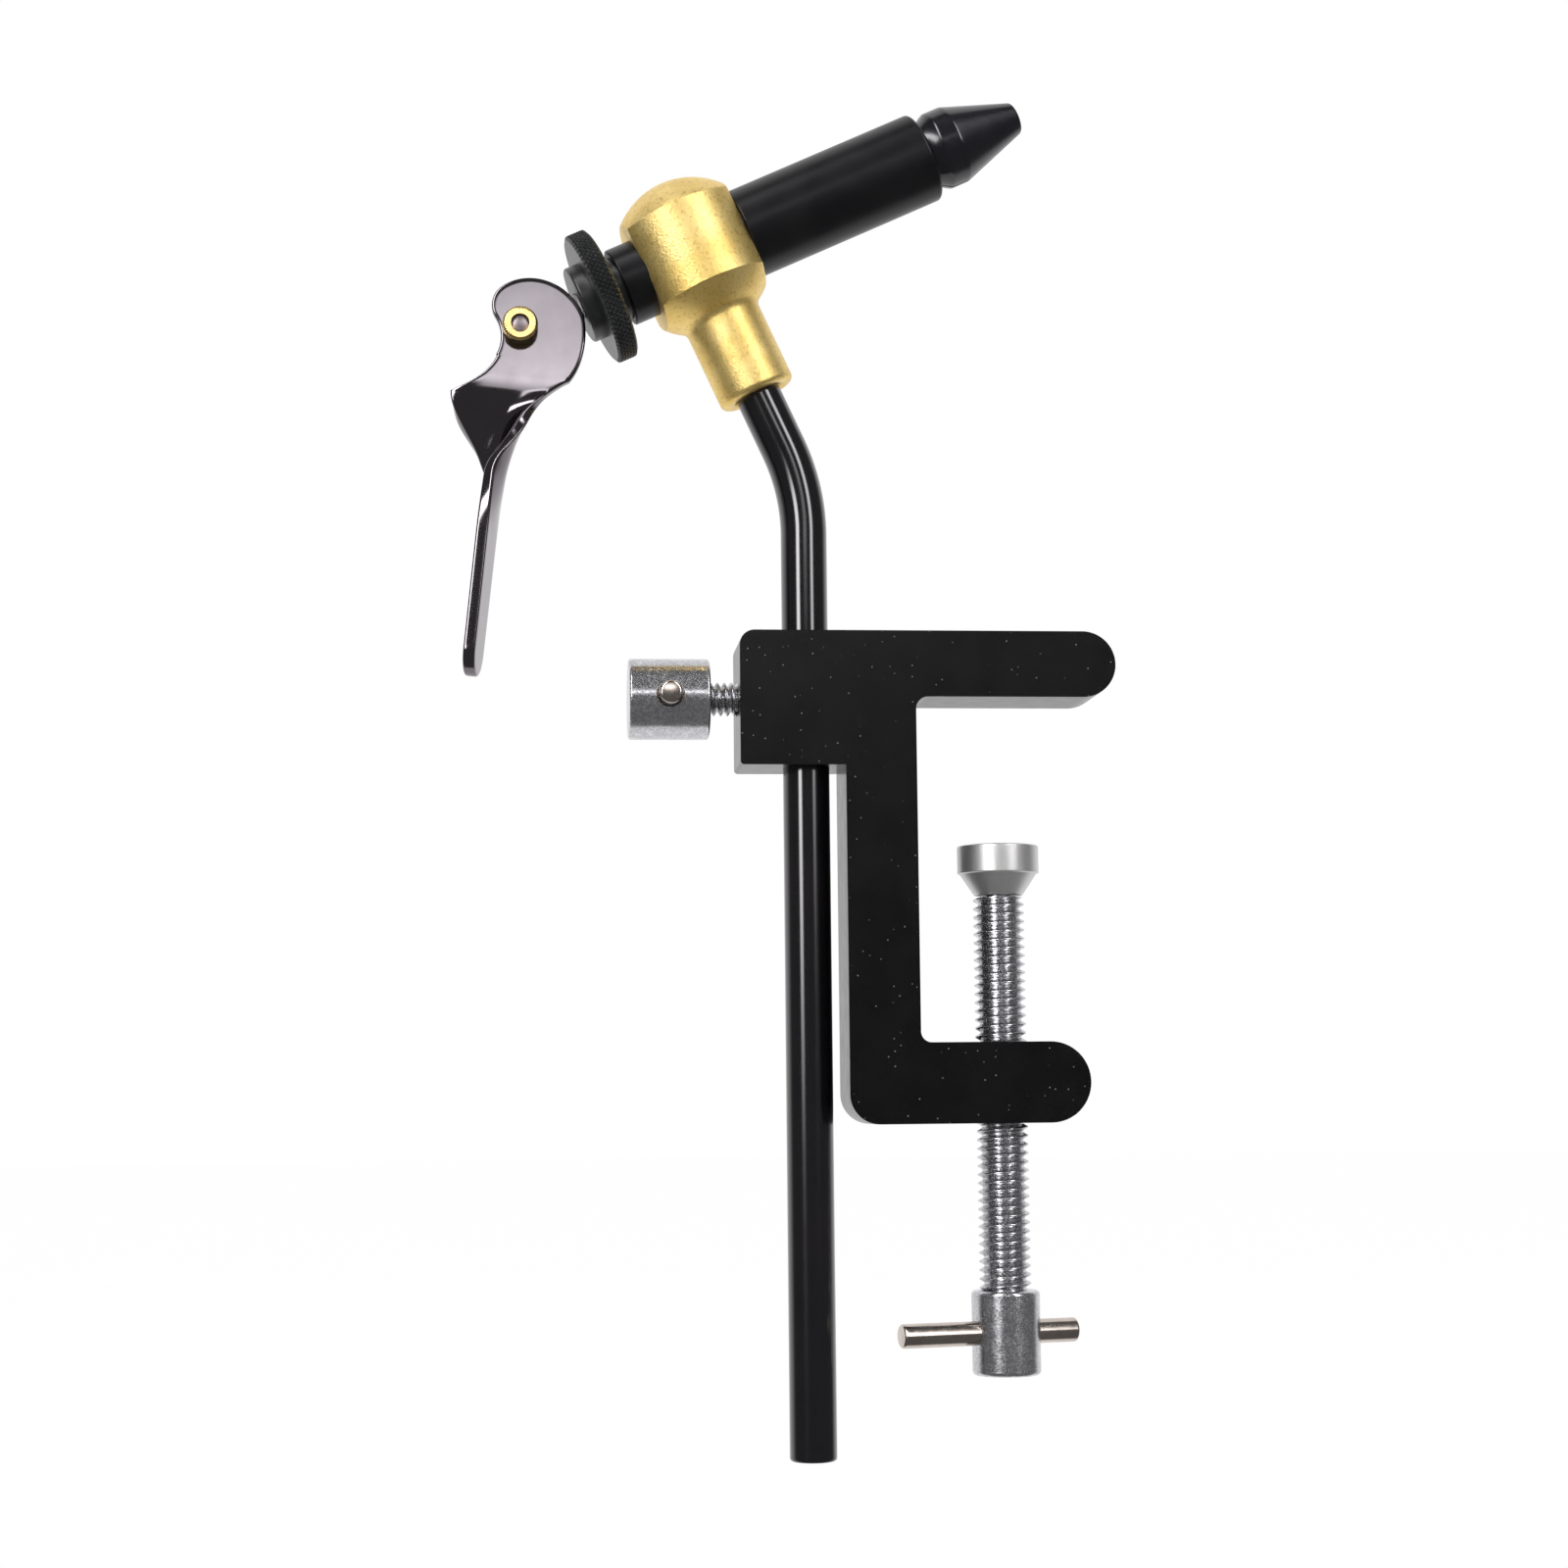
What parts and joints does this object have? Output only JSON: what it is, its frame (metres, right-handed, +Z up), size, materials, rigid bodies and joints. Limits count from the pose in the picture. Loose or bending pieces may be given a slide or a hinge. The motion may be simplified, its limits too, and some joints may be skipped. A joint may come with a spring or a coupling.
{
  "type": "fly tying vise",
  "caption": "Clamp-on fly tying vise: C-clamp frame, bent height-adjustable stem, ball head with a turning barrel, draw collet jaws and a twisted cam lever.",
  "frame": {"origin": "on the flat underside of the upper clamp arm, where the clamp screw's axis meets it", "axes": "+Z up along the clamp screw and the straight leg of the stem; +X along the arms, away from the stem; +Y away from the viewer of the front"},
  "size_m": [0.1239, 0.0256, 0.2561],
  "materials": {
    "frame_black": "black anodised, satin",
    "zinc_screw": "bright zinc plated",
    "nickel_bar": "warm nickel plated",
    "turned_steel": "turned, bright",
    "dark_steel": "black oxide",
    "stem_black": "polished black",
    "head_gold": "matte gold, fine grain",
    "barrel_black": "satin black",
    "jaw_black": "semi-gloss black, hardened",
    "nylon": "plain",
    "spring_steel": "drawn wire",
    "knurl_black": "black, knurled",
    "lever_polished": "polished black nickel",
    "nut_brass": "polished brass"
  },
  "bodies": {
    "frame": {"clamp_frame": "frame_black"},
    "pad": {"clamp_pad": "turned_steel", "pad_ring": "spring_steel"},
    "clamp_screw": {"clamp_screw": "zinc_screw", "clamp_screw_bar": "nickel_bar"},
    "stem": {"stem": "stem_black", "head": "head_gold", "stem_pin": "dark_steel", "head_set_screw": "dark_steel", "friction_pad": "nylon"},
    "barrel": {"barrel": "barrel_black", "return_spring": "spring_steel"},
    "draw": {"collet": "jaw_black", "draw_rod": "turned_steel", "lever_screw": "turned_steel", "lever_nut": "nut_brass"},
    "lever": {"cam_lever": "lever_polished"},
    "nut": {"adjusting_nut": "knurl_black"},
    "lock_screw": {"lock_screw": "zinc_screw", "lock_screw_bar": "nickel_bar"}
  },
  "joints": [
    {"name": "pad_slide", "type": "slide", "parent": "frame", "child": "pad", "axis": [0, 0, 1], "range_m": [-0.027, 0.027]},
    {"name": "clamp_screw_turn", "type": "hinge", "parent": "pad", "child": "clamp_screw", "pos_m": [0, 0, -0.0734], "axis": [0, 0, 1], "range_deg": [-6120, 6120]},
    {"name": "stem_slide", "type": "slide", "parent": "frame", "child": "stem", "axis": [0, 0, 1], "range_m": [-0.019, 0.105]},
    {"name": "lock_screw_turn", "type": "hinge", "parent": "frame", "child": "lock_screw", "pos_m": [-0.0616, 0, 0.0004], "axis": [1, 0, 0], "range_deg": [-720, 0]},
    {"name": "barrel_turn", "type": "hinge", "parent": "stem", "child": "barrel", "pos_m": [-0.0565, 0, 0.08529], "axis": [0.9085, 0, 0.4179], "continuous": true},
    {"name": "draw_slide", "type": "slide", "parent": "barrel", "child": "draw", "axis": [0.9085, 0, 0.4179], "range_m": [0, 0.00321], "deforming": ["return_spring"]},
    {"name": "lever_turn", "type": "hinge", "parent": "draw", "child": "lever", "pos_m": [-0.08916, 0, 0.07027], "axis": [0, 1, 0], "range_deg": [0, 95]},
    {"name": "nut_turn", "type": "hinge", "parent": "barrel", "child": "nut", "pos_m": [-0.07394, 0, 0.07727], "axis": [0.9085, 0, 0.4179], "range_deg": [-720, 720]}
  ],
  "couplings": [
    {"joint": "pad_slide", "follows": "clamp_screw_turn", "m_per_rad": 0.00025266},
    {"joint": "draw_slide", "follows": "lever_turn", "m_per_rad": 0.00193}
  ]
}
